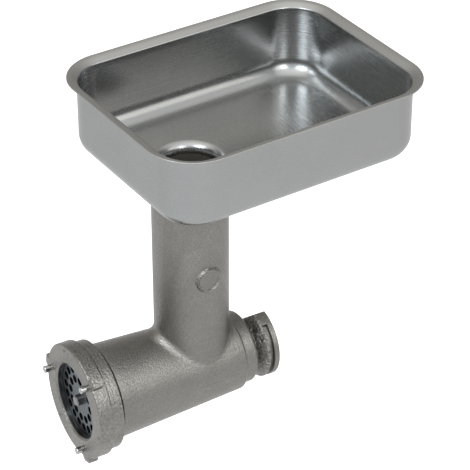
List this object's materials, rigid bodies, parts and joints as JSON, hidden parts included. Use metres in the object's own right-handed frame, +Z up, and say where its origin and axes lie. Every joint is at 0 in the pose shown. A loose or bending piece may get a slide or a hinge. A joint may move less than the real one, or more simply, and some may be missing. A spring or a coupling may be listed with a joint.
{
  "type": "meat grinder mincing head",
  "caption": "Mincing head of a powered meat grinder: cast barrel and feed neck with feed screw, cross knife, hole plate, lugged ring nut and a lift-off steel feed tray.",
  "frame": {"origin": "centre of the rear flange's rear face, on the barrel axis", "axes": "+Y along the barrel axis, out of the rear flange; +Z up along the feed neck; the ring nut faces -Y"},
  "size_m": [0.2045, 0.297, 0.3229],
  "materials": {
    "cast_body": "satin casting",
    "cast_ring": "fine-grained satin casting",
    "tray_steel": "satin sheet",
    "tool_steel": "ground and blued",
    "bright_steel": "turned bright",
    "knife_steel": "ground",
    "screw_steel": "cast and polished",
    "bush_bronze": "turned",
    "washer_plastic": "moulded"
  },
  "bodies": {
    "housing": {"grinder_body": "cast_body", "rear_bush": "bush_bronze", "bush_grub_screw": "bright_steel", "thrust_washer": "washer_plastic", "plate_key_pin": "bright_steel"},
    "feed_drive": {"feed_screw": "screw_steel", "knife_spindle": "bright_steel", "drive_shank": "bright_steel", "knife": "knife_steel"},
    "plate": {"hole_plate": "tool_steel"},
    "ring": {"ring_nut": "cast_ring", "spanner_studs": "bright_steel"},
    "tray": {"tray_pan": "tray_steel", "tray_spigot": "tray_steel"}
  },
  "joints": [
    {"name": "screw_turn", "type": "hinge", "parent": "housing", "child": "feed_drive", "pos_m": [0, -0.05, 0], "axis": [0, 1, 0], "continuous": true},
    {"name": "plate_slide", "type": "slide", "parent": "housing", "child": "plate", "axis": [0, -1, 0], "range_m": [0, 0.016]},
    {"name": "ring_turn", "type": "hinge", "parent": "plate", "child": "ring", "pos_m": [0, -0.182, 0], "axis": [0, -1, 0], "range_deg": [0, 1440]},
    {"name": "tray_lift", "type": "slide", "parent": "housing", "child": "tray", "axis": [0, 0, 1], "range_m": [0, 0.06]}
  ],
  "couplings": [
    {"joint": "plate_slide", "follows": "ring_turn", "m_per_rad": 0.00063661}
  ]
}
